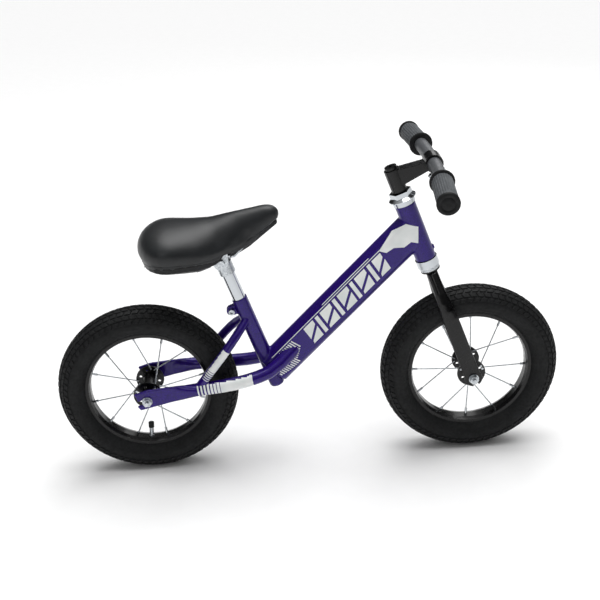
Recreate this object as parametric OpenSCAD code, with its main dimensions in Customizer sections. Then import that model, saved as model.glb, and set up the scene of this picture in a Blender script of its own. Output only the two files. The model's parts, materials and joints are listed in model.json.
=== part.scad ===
// Child's balance bike: welded steel frame, 12 inch wheels, threaded headset and quill stem.
// The origin lies on the floor midway between the axles; +X points forward and +Z up.

/* [Layout] */
// Distance between the two axles
wheelbase = 548; // [500:1:600]
// Angle of the steering axis above the floor
head_angle = 70; // [67:0.5:73]
// Angle of the seat tube above the floor
seat_angle = 71.5; // [69:0.5:74]
// Distance of the seat tube's foot in front of the rear axle
seat_foot_x = 221; // [205:1:235]
// Drop of the seat tube's foot below the axles
seat_foot_drop = 15.5; // [10:0.5:22]

/* [Wheels] */
// Outer diameter of the tyre
tyre_d = 305; // [290:1:325]
// Width of the tyre
tyre_w = 56; // [46:1:57]
// Diameter of the bead seat of the rim
bead_d = 203; // [203:1:205]
// Width of the rim over its flanges
rim_w = 28; // [24:1:30]
// Height of the rim's flanges above the bead seat
rim_flange_h = 5.5; // [4:0.5:7]
// Number of spokes in each wheel
spoke_count = 12; // [8:4:16]
// Diameter of a spoke
spoke_d = 2; // [1.8:0.1:2.6]
// Diameter of the hub's flanges
hub_flange_d = 48; // [40:1:56]
// Diameter of the hub's barrel
hub_barrel_d = 24; // [24:1:30]
// Distance between the front hub's flanges
front_flange_gap = 50; // [40:1:54]
// Distance between the rear hub's flanges
rear_flange_gap = 56; // [44:1:60]
// Diameter of the axles
axle_d = 8; // [8:0.5:10]

/* [Frame] */
// Outer diameter of the head tube
head_tube_d = 34; // [33:0.5:38]
// Length of the head tube
head_tube_len = 103.5; // [85:0.5:120]
// Height of the main beam's oval section
beam_h = 61; // [50:1:68]
// Width of the main beam's oval section
beam_w = 34; // [28:1:36]
// Wall of the main beam
beam_wall = 2; // [1.5:0.25:3]
// Outer diameter of the seat tube
seat_tube_d = 26; // [25.4:0.1:28]
// Length of the seat tube from its foot to its mouth
seat_tube_len = 182; // [170:1:200]
// Outer diameter of a chainstay
chainstay_d = 22.2; // [19:0.1:23]
// Outer diameter of a seatstay
seatstay_d = 15; // [12.7:0.1:17]
// Wall of the round frame tubes
tube_wall = 1.8; // [1.2:0.1:2.5]
// Half of the space between the rear dropouts
rear_drop_y = 45; // [44:0.5:50]
// Half of the space between the front dropouts
front_drop_y = 42; // [41:0.5:48]
// Thickness of the flattened dropout ends
drop_t = 5; // [4:0.5:7]

/* [Steering] */
// Gap between the tyre and the seat of the crown race
crown_gap = 48.5; // [44:0.5:56]
// Outer diameter of the steerer tube
steerer_d = 25.4; // [25.4:0.1:26]
// Outer diameter of a fork blade
blade_d = 19; // [17:0.5:21]
// Outer diameter of the stem's quill
quill_d = 22.2; // [21:0.1:22.2]
// Height of the stem above the headset locknut
stem_rise = 39; // [36:1:60]
// Forward reach of the stem
stem_reach = 65; // [50:1:80]
// Outer diameter of the handlebar
bar_d = 22.2; // [21:0.1:23]
// Width of the handlebar over its grips
bar_width = 372; // [340:1:420]
// Backward sweep of the bar's ends
bar_sweep = 4.8; // [0:0.2:12]
// Length of a grip
grip_len = 92; // [80:1:110]
// Outer diameter of a grip
grip_d = 33; // [29:1:36]

/* [Seat] */
// Outer diameter of the seat post
post_d = 22.2; // [21:0.1:22.2]
// Length of the seat post
post_len = 160; // [140:1:190]
// Length of the seat post that stands above the seat tube's mouth
post_rise = 68; // [60:1:100]
// Length of the saddle
saddle_len = 239; // [220:1:260]
// Width of the saddle
saddle_w = 144; // [120:1:160]
// Thickness of the foam above the saddle's base
foam_t = 22; // [14:1:28]

/* [Hidden] */
$fn = 64;
eps = 0.01;

// clearances
fit = 0.05;
gap = 0.4;
hole = 0.2;

// colours
violet = "#3a0a8c";
gloss_black = "#111214";
rubber_black = "#1b1c1e";
chrome = "#c9ccd1";
zinc = "#a9adb2";
steel = "#8d9196";
grey_paint = "#55585c";
grip_grey = "#46484b";

// wheel places
tyre_r = tyre_d / 2;
axle_z = tyre_r;
rear = [-wheelbase / 2, 0, axle_z];
front = [wheelbase / 2, 0, axle_z];
pitch = 360 / spoke_count;
front_phase = -1;
rear_phase = 12;
front_valve_turn = front_phase + 3.5 * pitch;
rear_valve_turn = rear_phase + 8.5 * pitch;

// points along the steering axis and along the seat tube
function steer_pt(s, q = 0, y = 0) = front
  + s * [-cos(head_angle), 0, sin(head_angle)] + q * [sin(head_angle), 0, cos(head_angle)] + [0, y, 0];
foot = [rear.x + seat_foot_x, 0, axle_z - seat_foot_drop];
function seat_pt(t, q = 0, y = 0) = foot
  + t * [-cos(seat_angle), 0, sin(seat_angle)] + q * [sin(seat_angle), 0, cos(seat_angle)] + [0, y, 0];

// heights along the steering axis, measured from the front axle
race_h = 6;
ball_d = 3.9;
ball_room = 4;
balls_r = 15;
balls_n = 14;
cup_wall = 1.6;
s_crown = tyre_r + crown_gap;
s_head = s_crown + race_h + 14;
s_top = s_head + head_tube_len;
upper_cup_h = 7.5;
adjuster_h = 6;
locknut_h = 8;
s_nut = s_top + upper_cup_h + adjuster_h;
s_stem = s_nut + locknut_h;
quill_top = s_stem + stem_rise;
bar_s = quill_top - 14;
cup_bore_d = 30.2;
steerer_bore_d = quill_d + 2 * fit;
crown_plate = 3;

// main beam from the seat tube to the head tube
beam_start = seat_pt(35.5);
beam_end = steer_pt(s_head + 57);
beam_len = norm(beam_end - beam_start);
beam_dir = (beam_end - beam_start) / beam_len;
beam_angle = atan2(beam_dir.z, beam_dir.x);

// stays, on the +Y side
stay_y = tyre_w / 2 + chainstay_d / 2 + 3.5;
chain_front = beam_start + 72 * beam_dir + [0, beam_w / 2 - chainstay_d / 2 - 1, 0];
crush_path = [for (x = [40, 52, 64]) rear + [x, rear_drop_y + drop_t / 2, 9 + (x - 40) / 8]];
chain_path = concat(crush_path, cut_corners([
  rear + [80, rear_drop_y + drop_t / 2 - 1, 14],
  [rear.x + 140, stay_y, axle_z + 17],
  [foot.x - 41, stay_y - 7, axle_z + 22],
  [foot.x - 8, stay_y - 13, axle_z + 32],
  chain_front
]));
chain_rings = len(chain_path);
crush_wide = [29, 28, 25.5];
crush_high = [drop_t + 1, drop_t + 3.5, 14];
chain_wide = [for (i = [0 : chain_rings - 1]) i < 3 ? crush_wide[i] : chainstay_d];
chain_high = [for (i = [0 : chain_rings - 1]) i < 3 ? crush_high[i] : chainstay_d];
bend_r = tyre_r + 17;
bend_a = 31.5;
seat_path = cut_corners(cut_corners([
  [rear.x + 87, rear_drop_y + 1, axle_z + 18],
  [rear.x + bend_r * cos(bend_a), tyre_w / 2 + 10, axle_z + bend_r * sin(bend_a)],
  seat_pt(142, -4, 8)
]));
clamp_t = 165;
clamp_q = -20;
lug_t = 4;
slit_w = 3;
clamp_bolt_d = 6;

// fork blade, on the +Y side, in the steering frame
blade_path = concat(cut_corners(cut_corners([
  [0, blade_d / 2 + 0.5, s_crown - crown_plate],
  [0, tyre_w / 2 + blade_d / 2 + 5, tyre_r - 12],
  [0, front_drop_y + 1, tyre_r - 68]
])), [[0, front_drop_y + drop_t / 2, 45], [0, front_drop_y + drop_t / 2, 20]]);
blade_flat_w = 27;
// 0 where the blade is round, above the tyre, and 1 where it is flattened beside the wheel
function blade_flat(z) = min(1, max(0, (tyre_r + 20 - z) / 60));
blade_wide = [for (p = blade_path) blade_d + (blade_flat_w - blade_d) * blade_flat(p.z)];
blade_high = [
  for (p = blade_path) p.z < 30 ? drop_t + 1 : p.z < 50 ? 10 : blade_d * (1 - 0.25 * blade_flat(p.z))
];

// seat post and saddle
post_top = seat_tube_len + post_rise;
saddle_pivot = seat_pt(post_top + 9);
rail_d = 7;
rail_path = [[-78, 24, 44], [-50, 22, 10], [22, 19, 10], [50, 8, 34], [66, 7, 52]];
// saddle form as ellipsoids: place along X, height, then half length, half width and half height
saddle_k = saddle_len / 239;
saddle_form = [
  [-82, 26, 54, saddle_w / 2, 42],
  [-45, 25, 46, saddle_w * 0.43, 42],
  [-8, 31, 38, saddle_w * 0.32, 38],
  [30, 46, 34, saddle_w * 0.2, 33],
  [79, 69.5, 24, saddle_w * 0.125, 20]
];

module at_steer() translate(front) rotate([0, head_angle - 90, 0]) children();
module at_seat() translate(foot) rotate([0, seat_angle - 90, 0]) children();
module at_beam() translate(beam_start) rotate([0, 90 - beam_angle, 0]) children();
// turns +Z to +Y
module across() rotate([-90, 0, 0]) children();
module both_sides() {
  children();
  mirror([0, 1, 0]) children();
}

module along(a, b) {
  d = b - a;
  translate(a) rotate([0, acos(d.z / norm(d)), atan2(d.y, d.x)]) children();
}
module rod(a, b, d) along(a, b) cylinder(h = norm(b - a), d = d);

// one pass of corner cutting, which keeps the ends of a path
function cut_corners(p) = [
  p[0],
  for (i = [0 : len(p) - 2]) each [0.75 * p[i] + 0.25 * p[i + 1], 0.25 * p[i] + 0.75 * p[i + 1]],
  p[len(p) - 1]
];
function unit(v) = v / norm(v);
function ahead(p, i) = unit(p[min(i + 1, len(p) - 1)] - p[max(i - 1, 0)]);
tube_sides = 24;
// rings about a path: wide across ref's normal and high along ref, both less 2 * inset
function rings(p, ref, wide, high, inset) = [
  for (i = [0 : len(p) - 1], k = [0 : tube_sides - 1])
    let (t = ahead(p, i), a = unit(cross(ref, t)), b = cross(t, a), turn = k * 360 / tube_sides)
    p[i] + (wide[i] / 2 - inset) * cos(turn) * a + (high[i] / 2 - inset) * sin(turn) * b
];
function split(q) = [[q[0], q[1], q[2]], [q[0], q[2], q[3]]];
// bent tube along a path, whose section may change from ring to ring
module bent_tube(p, ref, wide, high, wall) {
  n = len(p);
  m = tube_sides;
  inner = n * m;
  last = (n - 1) * m;
  quads = [
    for (i = [0 : n - 2], k = [0 : m - 1]) let (a = i * m + k, b = i * m + (k + 1) % m)
      each [[a, a + m, b + m, b], [inner + a, inner + b, inner + b + m, inner + a + m]],
    for (k = [0 : m - 1]) let (a = k, b = (k + 1) % m)
      each [[a, b, inner + b, inner + a], [last + a, last + inner + a, last + inner + b, last + b]]
  ];
  polyhedron(
    points = concat(rings(p, ref, wide, high, 0), rings(p, ref, wide, high, wall)),
    faces = [for (q = quads) each split(q)]
  );
}
// solid form of the same tube, to cut its neighbours with
module bent_bar(p, ref, wide, high) {
  n = len(p);
  m = tube_sides;
  polyhedron(
    points = rings(p, ref, wide, high, 0),
    faces = concat(
      [for (i = [0 : n - 2], k = [0 : m - 1]) let (a = i * m + k, b = i * m + (k + 1) % m)
        each split([a, a + m, b + m, b])],
      [[for (k = [0 : m - 1]) k], [for (k = [m - 1 : -1 : 0]) (n - 1) * m + k]]
    )
  );
}
function same(p, d) = [for (q = p) d];
module ring(h, outer, inner) difference() {
  cylinder(h = h, d = outer);
  translate([0, 0, -1]) cylinder(h = h + 2, d = inner);
}
module hex(h, across_flats) cylinder(h = h, d = across_flats / cos(30), $fn = 6);

// ---- frame ----
module head_tube_solid() at_steer() translate([0, 0, s_head]) cylinder(h = head_tube_len, d = head_tube_d);

module head_tube() color(violet) at_steer() difference() {
  union() {
    translate([0, 0, s_head]) cylinder(h = head_tube_len, d = head_tube_d);
    translate([0, 0, s_head + 14]) rotate([0, 90, 0]) cylinder(h = head_tube_d / 2 + 2.5, d = 8);
  }
  translate([0, 0, s_head - 1]) cylinder(h = head_tube_len + 2, d = cup_bore_d);
}

module oval(h, w) {
  for (x = [-1, 1]) translate([x * (h - w) / 2, 0]) circle(d = w);
  square([h - w, w], center = true);
}

module beam_solid(cut = 0) at_beam() translate([0, 0, 4 - cut])
  linear_extrude(beam_len + cut) oval(beam_h - 2 * cut, beam_w - 2 * cut);

module main_beam() color(violet) difference() {
  beam_solid();
  beam_solid(beam_wall);
  head_tube_solid();
  seat_tube_solid();
  at_steer() translate([0, -50, s_head]) cube([100, 100, head_tube_len]);
}

foot_cut = 6;
module seat_tube_solid() at_seat() rotate_extrude() polygon([
  [0, foot_cut], [seat_tube_d / 2 - 4, foot_cut], [seat_tube_d / 2 - 1.2, foot_cut + 1.2],
  [seat_tube_d / 2, foot_cut + 4],
  [seat_tube_d / 2, seat_tube_len], [0, seat_tube_len]
]);

module seat_tube() color(violet) difference() {
  union() {
    seat_tube_solid();
    at_seat() for (s = [-1, 1]) translate([0, s * (slit_w + lug_t) / 2, clamp_t]) {
      translate([clamp_q, 0, 0]) rotate([90, 0, 0]) cylinder(h = lug_t, d = 17, center = true);
      translate([clamp_q / 2 - 4, 0, 0]) cube([-clamp_q - 8, lug_t, 17], center = true);
    }
  }
  at_seat() {
    translate([0, 0, foot_cut + 4]) cylinder(h = seat_tube_len, d = post_d + 2 * fit);
    translate([-30, 0, seat_tube_len - 15]) cube([60, slit_w, 70], center = true);
    translate([clamp_q, 0, clamp_t]) rotate([90, 0, 0]) cylinder(h = 60, d = clamp_bolt_d + hole, center = true);
  }
}

module seat_clamp_bolt() color(zinc) at_seat() translate([clamp_q, 0, clamp_t]) {
  y = slit_w / 2 + lug_t;
  rotate([90, 0, 0]) {
    translate([0, 0, -y - 7]) cylinder(h = 2 * y + 7, d = clamp_bolt_d);
    translate([0, 0, y]) difference() {
      cylinder(h = 6, d = 10);
      translate([0, 0, 3]) hex(4, 5);
    }
    translate([0, 0, -y - 5]) difference() {
      hex(5, 10);
      translate([0, 0, -1]) cylinder(h = 8, d = clamp_bolt_d - eps);
    }
  }
}

module chainstay_solid() bent_bar(chain_path, [0, 1, 0], chain_wide, chain_high);

// crushed and drilled end of the chainstay, as an outline in the XZ plane about the axle
// plate in the crushed stay, slotted for the axle towards the rear
module rear_dropout() translate([0, rear_drop_y + drop_t, 0]) rotate([90, 0, 0])
  linear_extrude(drop_t) difference() {
    polygon([[-21, 13.5], [-16, 2], [-17, -10], [-12, -17], [40, -5], [62, 1], [62, 24.5], [40, 23.5], [0, 20]]);
    rotate(17) hull() for (x = [0, -30]) translate([x, 0]) circle(d = axle_d + 2 * hole);
  }

module chainstay() color(violet) difference() {
  union() {
    bent_tube(chain_path, [0, 1, 0], chain_wide, chain_high, tube_wall);
    translate(rear) rear_dropout();
  }
  beam_solid();
  seat_tube_solid();
}
module chainstay_left() chainstay();
module chainstay_right() mirror([0, 1, 0]) chainstay();

module seatstay() color(violet) difference() {
  bent_tube(seat_path, [0, 1, 0], same(seat_path, seatstay_d), same(seat_path, seatstay_d), tube_wall);
  chainstay_solid();
  seat_tube_solid();
}
module seatstay_left() seatstay();
module seatstay_right() mirror([0, 1, 0]) seatstay();

// ---- headset and fork ----
// flange with a ball track open at z = 0, and a sleeve of 10 mm pressed into the head tube above it
module bearing_cup(h, depth) difference() {
  union() {
    cylinder(h = h, d = 2 * balls_r + ball_d + 2 * cup_wall);
    translate([0, 0, h - eps]) cylinder(h = 10, d = cup_bore_d);
  }
  translate([0, 0, -1]) cylinder(h = h + 20, d = steerer_d + 1.2);
  translate([0, 0, -1]) cylinder(h = depth + 1, d = 2 * balls_r + ball_d + 2 * fit);
}
module lower_cup() color(chrome) at_steer() translate([0, 0, s_crown + race_h + gap])
  bearing_cup(s_head - s_crown - race_h - gap, ball_room - gap);
module upper_cup() color(chrome) at_steer() translate([0, 0, s_top + upper_cup_h - gap])
  rotate([180, 0, 0]) bearing_cup(upper_cup_h - gap, ball_room - gap);

module crown_race() color(steel) at_steer() translate([0, 0, s_crown])
  ring(race_h, 2 * balls_r + ball_d - 1, steerer_d);

module headset_balls() color(chrome) at_steer()
  for (s = [s_crown + race_h, s_top + upper_cup_h - ball_room + 2 * fit], i = [0 : balls_n - 1])
    translate([0, 0, s]) rotate(i * 360 / balls_n) translate([balls_r, 0, ball_d / 2]) sphere(d = ball_d);

// dished race whose rim sheds water over the upper cup
race_rim_r = 22.5;
module adjusting_race() color(chrome) at_steer() translate([0, 0, s_top + upper_cup_h])
  rotate_extrude() polygon([
    [steerer_d / 2, 0], [race_rim_r - 3, 0], [race_rim_r, 1.2], [race_rim_r, 2.4],
    [balls_r + 2, adjuster_h], [steerer_d / 2, adjuster_h]
  ]);
module headset_locknut() color(chrome) at_steer() translate([0, 0, s_nut]) difference() {
  hex(locknut_h, 32);
  translate([0, 0, -1]) cylinder(h = locknut_h + 2, d = steerer_d);
}

module steerer_tube() color(gloss_black) at_steer() difference() {
  union() {
    translate([0, 0, s_crown - crown_plate]) cylinder(h = crown_plate, d = 33);
    translate([0, 0, s_crown - eps]) cylinder(h = s_stem - 1 - s_crown, d = steerer_d);
  }
  translate([0, 0, s_crown - crown_plate - 1]) cylinder(h = 300, d = steerer_bore_d);
}

module fork_blade() color(gloss_black) at_steer() difference() {
  union() {
    bent_tube(blade_path, [0, -1, 0], blade_wide, blade_high, tube_wall);
    translate([0, front_drop_y, 0]) {
      across() cylinder(h = drop_t, d = blade_flat_w + 3);
      translate([-blade_flat_w / 2, 0, 0]) cube([blade_flat_w, drop_t, 30]);
    }
  }
  translate([0, front_drop_y - 1, 0]) {
    across() cylinder(h = drop_t + 2, d = axle_d + 2 * hole);
    translate([-axle_d / 2 - hole, 0, -30]) cube([axle_d + 2 * hole, drop_t + 2, 30]);
  }
  translate([-50, -50 + eps, -50]) cube([100, 50, 400]);
  translate([0, 0, s_crown - crown_plate]) cylinder(h = 20, d = 60);
}
module fork_blade_left() fork_blade();
module fork_blade_right() mirror([0, 1, 0]) fork_blade();

// ---- wheels: each is made about the Y axis at the origin, then moved to its axle ----
rim_bead_r = bead_d / 2;
rim_top_r = rim_bead_r + rim_flange_h;
rim_wall = 2;
rim_in_r = rim_bead_r - 3.5;
rim_half = rim_w / 2;
tyre_wall = 3.2;
tyre_mid_r = (tyre_r + rim_top_r) / 2 - 3.5;
flange_t = 3;
shell_over = 6;
ball_n_hub = 9;
hub_ball_d = 4.6;
hub_ball_r = 8.1;
cup_r = hub_ball_r + hub_ball_d / 2 + fit;
cone_r = hub_ball_r - hub_ball_d / 2 - 2 * fit;
cone_flange_h = 4;
washer_t = 1.5;
nut_h = 5.5;
axle_over = 4.5;
axle_tip_d = axle_d - 0.4;
valve_in_r = 71;
spoke_hub_r = hub_flange_d / 2 - 4;
spoke_lean = 22;

// half of an oval tyre outline in [radius, half width], from the rim's edge to the crown
function tyre_arc(half_w, crown_r, neck_w, side) =
  let (t_neck = 180 - asin(neck_w / half_w), deep = (tyre_mid_r - rim_top_r) / -cos(t_neck))
  [for (i = [0 : 16]) let (t = t_neck * (1 - i / 16))
    [tyre_mid_r + cos(t) * (t < 90 ? crown_r - tyre_mid_r : deep), side * half_w * sin(t)]];
function reversed(list) = [for (i = [len(list) - 1 : -1 : 0]) list[i]];
function tyre_outline(half_w, crown_r, neck_w, foot_r) = concat(
  [[foot_r, neck_w]], tyre_arc(half_w, crown_r, neck_w, 1),
  reversed([for (i = [0 : 15]) tyre_arc(half_w, crown_r, neck_w, -1)[i]]), [[foot_r, -neck_w]]);

module wheel_axis() rotate([90, 0, 0]) children();

module tyre() color(rubber_black) wheel_axis() rotate_extrude($fn = 128) difference() {
  polygon(tyre_outline(tyre_w / 2, tyre_r, rim_half - rim_wall, rim_bead_r));
  polygon(tyre_outline(tyre_w / 2 - tyre_wall, tyre_r - tyre_wall - 1.5, rim_half - rim_wall - 3.5, rim_bead_r - 1));
}

tube_r = tyre_r - tyre_mid_r - tyre_wall - 3;
module tube_ring() wheel_axis() rotate_extrude() translate([tyre_mid_r + 1, 0]) children();
module inner_tube() color("#26272a") tube_ring() difference() {
  circle(r = tube_r);
  circle(r = tube_r - 1.5);
}

// spoke k leaves the right flange if k is even; pairs lean towards each other at the hub
function spoke_side(k) = k % 2 == 0 ? 1 : -1;
function hub_turn(k, phase) = phase + k * pitch + (floor(k / 2) % 2 == 0 ? spoke_lean : -spoke_lean);
function polar(r, a, z) = [r * cos(a), r * sin(a), z];
function spoke_hub(k, phase, wide) =
  polar(spoke_hub_r, hub_turn(k, phase), spoke_side(k) * (wide / 2 - flange_t / 2 - spoke_d / 2 - 0.4));
function spoke_rim(k, phase) = polar(rim_in_r + rim_wall + 2.5, phase + k * pitch, spoke_side(k) * 2.5);
module at_nipple(k, phase, wide) {
  a = spoke_rim(k, phase);
  b = spoke_hub(k, phase, wide);
  along(a, b) children();
}

module spokes(phase, wide) color(zinc) wheel_axis() for (k = [0 : spoke_count - 1]) {
  a = spoke_hub(k, phase, wide);
  b = spoke_rim(k, phase);
  rod(a, a + (b - a) * (1 - 5 / norm(b - a)), spoke_d);
  translate(a) sphere(d = spoke_d + 0.4);
  s = spoke_side(k);
  head_z = s * (wide / 2 + flange_t / 2);
  rod([a.x, a.y, a.z], [a.x, a.y, head_z + s * 0.6], spoke_d);
  translate([a.x, a.y, s > 0 ? head_z : head_z - 1]) cylinder(h = 1, d = 2 * spoke_d);
}

nipple_d = 4;
module nipples(phase, wide) color(chrome) wheel_axis() for (k = [0 : spoke_count - 1])
  at_nipple(k, phase, wide) difference() {
    union() {
      cylinder(h = 14, d = nipple_d);
      cylinder(h = 1.8, d = nipple_d + 2);
    }
    translate([0, 0, 4]) cylinder(h = 20, d = spoke_d);
  }

module rim(phase, wide, valve_turn) color(gloss_black) wheel_axis() difference() {
  rotate_extrude($fn = 128) polygon([
    [rim_in_r, -7], [rim_in_r, 7], [rim_bead_r - 1, rim_half], [rim_top_r, rim_half],
    [rim_top_r, rim_half - rim_wall], [rim_bead_r, rim_half - rim_wall], [rim_bead_r, 8],
    [rim_in_r + rim_wall, 5.5], [rim_in_r + rim_wall, -5.5], [rim_bead_r, -8],
    [rim_bead_r, rim_wall - rim_half], [rim_top_r, rim_wall - rim_half],
    [rim_top_r, -rim_half], [rim_bead_r - 1, -rim_half]
  ]);
  for (k = [0 : spoke_count - 1]) at_nipple(k, phase, wide) translate([0, 0, 1.8]) cylinder(h = 8, d = nipple_d + hole);
  rotate(valve_turn) rotate([0, 90, 0]) translate([0, 0, rim_in_r - 5]) cylinder(h = 12, d = valve_d + 2 * hole);
}

valve_d = 8;
module at_valve(turn) wheel_axis() rotate(turn) rotate([0, 90, 0]) children();
module valve(turn) color(zinc) difference() {
  at_valve(turn) {
    translate([0, 0, rim_in_r - 2]) cylinder(h = 14, d = valve_d);
    translate([0, 0, valve_in_r + 8]) cylinder(h = rim_in_r - valve_in_r - 9, d = valve_d - 0.8);
    translate([0, 0, valve_in_r + 3]) cylinder(h = 6, d = 5.5);
  }
  tube_ring() circle(r = tube_r);
}
module valve_cap(turn) color(rubber_black) at_valve(turn) translate([0, 0, valve_in_r]) difference() {
  cylinder(h = 9, d = 9.5);
  translate([0, 0, 2]) cylinder(h = 10, d = valve_d - 0.8);
}

// hub, with bearings and the hardware of its axle
function shell_end(wide) = wide / 2 + shell_over;
module both_ends() for (s = [0, 1]) mirror([0, 0, s]) children();

module hub_shell(phase, wide) color(gloss_black) wheel_axis() difference() {
  union() {
    cylinder(h = wide, d = hub_barrel_d, center = true);
    both_ends() {
      translate([0, 0, wide / 2 - flange_t / 2]) cylinder(h = flange_t, d = hub_flange_d);
      translate([0, 0, wide / 2]) cylinder(h = shell_over, d = 2 * cup_r + 4);
    }
  }
  cylinder(h = 200, d = axle_d + 5, center = true);
  both_ends() translate([0, 0, shell_end(wide) - hub_ball_d - 1.4]) cylinder(h = 20, r = cup_r);
  for (k = [0 : spoke_count - 1]) translate(polar(spoke_hub_r, hub_turn(k, phase), spoke_side(k) * wide / 2))
    cylinder(h = flange_t + 1, d = spoke_d + hole, center = true);
  for (s = [-1, 1], k = [0 : 5]) translate(polar(hub_flange_d / 2 - 7.5, phase + 30 + k * 60, s * wide / 2))
    cylinder(h = flange_t + 1, d = 5, center = true);
}
module hub_balls(wide) color(chrome) wheel_axis() both_ends() for (i = [0 : ball_n_hub - 1])
  translate(polar(hub_ball_r, i * 360 / ball_n_hub, shell_end(wide) - 1.4 - hub_ball_d / 2)) sphere(d = hub_ball_d);

module cones(wide) color(steel) wheel_axis() both_ends() translate([0, 0, shell_end(wide)]) {
  translate([0, 0, gap - hub_ball_d - 1.4]) ring(hub_ball_d + 1.4 + eps, 2 * cone_r, axle_d);
  translate([0, 0, gap]) ring(cone_flange_h, 17, axle_d);
}
module on_axle_ends(y) both_ends() translate([0, 0, y]) children();
module drilled_hex(h, flats) difference() {
  hex(h, flats);
  translate([0, 0, -1]) cylinder(h = h + 2, d = axle_d);
}
module locknuts(wide, drop_y) color(zinc) wheel_axis() on_axle_ends(shell_end(wide) + gap + cone_flange_h)
  drilled_hex(drop_y - shell_end(wide) - gap - cone_flange_h, 13);
module axle_washers(drop_y) color(zinc) wheel_axis() on_axle_ends(drop_y + drop_t) ring(washer_t, 17, axle_d);
module axle_nuts(drop_y) color(zinc) wheel_axis() on_axle_ends(drop_y + drop_t + washer_t) drilled_hex(nut_h, 13);
module axle(drop_y) color(zinc) wheel_axis() {
  nut_face = drop_y + drop_t + washer_t + nut_h;
  cylinder(h = 2 * nut_face, d = axle_d, center = true);
  cylinder(h = 2 * (nut_face + axle_over), d = axle_tip_d, center = true);
}

// ---- stem and bar ----
wedge_s = s_stem - 84;
wedge_h = 24;
wedge_slant = 30;
clamp_od = bar_d + 7;
column_d = quill_d + 3;
bolt_head_d = 20;
module wedge_cut() translate([0, 0, wedge_s + wedge_h]) rotate([0, wedge_slant, 0])
  translate([-50, -50, -100]) cube([100, 100, 100]);

module stem() color(gloss_black) at_steer() difference() {
  union() {
    translate([0, 0, wedge_s]) cylinder(h = quill_top - wedge_s, d = quill_d);
    translate([0, 0, s_stem + 2]) cylinder(h = quill_top - s_stem - 2, d = column_d);
    hull() {
      translate([6, -10, quill_top - 29]) cube([1, 20, 27]);
      translate([stem_reach - 12, -11, bar_s - 8]) cube([1, 22, 14]);
    }
    translate([stem_reach, 0, bar_s]) across() cylinder(h = 28, d = clamp_od, center = true);
    translate([stem_reach - 9, -7, bar_s - 27]) cube([18, 14, 27]);
  }
  wedge_cut();
  translate([0, 0, wedge_s - 1]) cylinder(h = quill_top - wedge_s + 2, d = 8 + 2 * hole);
  translate([stem_reach, 0, bar_s]) {
    across() cylinder(h = 60, d = bar_d + 2 * fit, center = true);
    translate([-1.2, -30, -40]) cube([2.4, 60, 40]);
    translate([0, 0, -21.5]) rotate([0, 90, 0]) cylinder(h = 60, d = 5 + hole, center = true);
  }
}
module stem_wedge() color(zinc) at_steer() difference() {
  intersection() {
    translate([0, 0, wedge_s - 6]) cylinder(h = 60, d = quill_d);
    translate([0, 0, -gap / 4]) wedge_cut();
  }
  translate([0, 0, wedge_s - 50]) cylinder(h = 100, d = 8);
}
module stem_bolt() color(zinc) at_steer() difference() {
  union() {
    translate([0, 0, wedge_s - 4]) cylinder(h = quill_top - wedge_s + 4, d = 8);
    translate([0, 0, quill_top]) cylinder(h = 5, d = bolt_head_d);
  }
  translate([0, 0, quill_top + 1]) hex(6, 6);
}
module bar_clamp_bolt() color(zinc) at_steer() translate([stem_reach, 0, bar_s - 21.5]) rotate([0, 90, 0]) {
  translate([0, 0, -15]) cylinder(h = 26, d = 5);
  translate([0, 0, 9]) difference() {
    cylinder(h = 5, d = 8.5);
    translate([0, 0, 2]) hex(4, 4);
  }
  translate([0, 0, -13]) difference() {
    hex(4, 8);
    translate([0, 0, -1]) cylinder(h = 6, d = 5 - eps);
  }
}

bar_bend_y = 58;
bar_wall = 1.8;
end_cap_t = 4;
bar_end_len = (bar_width / 2 - bar_bend_y) / cos(bar_sweep) - end_cap_t;
module at_bar() at_steer() translate([stem_reach, 0, bar_s]) children();
module at_bend() at_bar() translate([0, bar_bend_y, 0]) rotate([0, 0, bar_sweep]) across() children();

module handlebar_outline(d) {
  at_bar() across() cylinder(h = 2 * bar_bend_y, d = d, center = true);
  for (s = [0, 1]) mirror([0, s, 0]) at_bend() translate([0, 0, -2]) cylinder(h = bar_end_len + 2, d = d);
}
module handlebar() color(grey_paint) difference() {
  handlebar_outline(bar_d);
  handlebar_outline(bar_d - 2 * bar_wall);
}
module grip() color(grip_grey) at_bend() translate([0, 0, bar_end_len + end_cap_t - grip_len]) difference() {
  union() {
    cylinder(h = grip_len, d = grip_d);
    cylinder(h = 4, d = grip_d + 6);
    translate([0, 0, grip_len - 5]) cylinder(h = 5, d = grip_d + 2);
  }
  translate([0, 0, -1]) cylinder(h = grip_len - end_cap_t + 1, d = bar_d);
}
module grip_left() grip();
module grip_right() mirror([0, 1, 0]) grip();

// ---- seat ----
module seat_post() color(chrome) at_seat() translate([0, 0, post_top - post_len]) difference() {
  cylinder(h = post_len, d = post_d);
  translate([0, 0, -1]) cylinder(h = post_len - 2, d = post_d - 2 * tube_wall);
}
barrel_w = 28;
saddle_bolt_d = 8;
cheek_t = 12;
module post_clamp() color(steel) at_seat() difference() {
  union() {
    translate([0, 0, post_top - 20]) cylinder(h = 20, d = post_d + 5);
    translate([0, 0, post_top + 9]) across() cylinder(h = barrel_w, d = 19, center = true);
  }
  translate([0, 0, post_top - 40]) cylinder(h = 40, d = post_d);
  translate([0, 0, post_top + 9]) across() cylinder(h = 60, d = saddle_bolt_d + 2 * fit, center = true);
}
module at_pivot() translate(saddle_pivot) children();
module saddle_bolt() color(zinc) at_pivot() across() {
  reach = barrel_w / 2 + cheek_t + gap;
  cylinder(h = 2 * reach, d = saddle_bolt_d, center = true);
  for (s = [0, 1]) mirror([0, 0, s]) translate([0, 0, reach + gap / 2]) hex(5, 12);
  for (s = [0, 1]) mirror([0, 0, s]) translate([0, 0, reach - eps]) cylinder(h = gap / 2 + 2 * eps, d = saddle_bolt_d);
}
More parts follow.
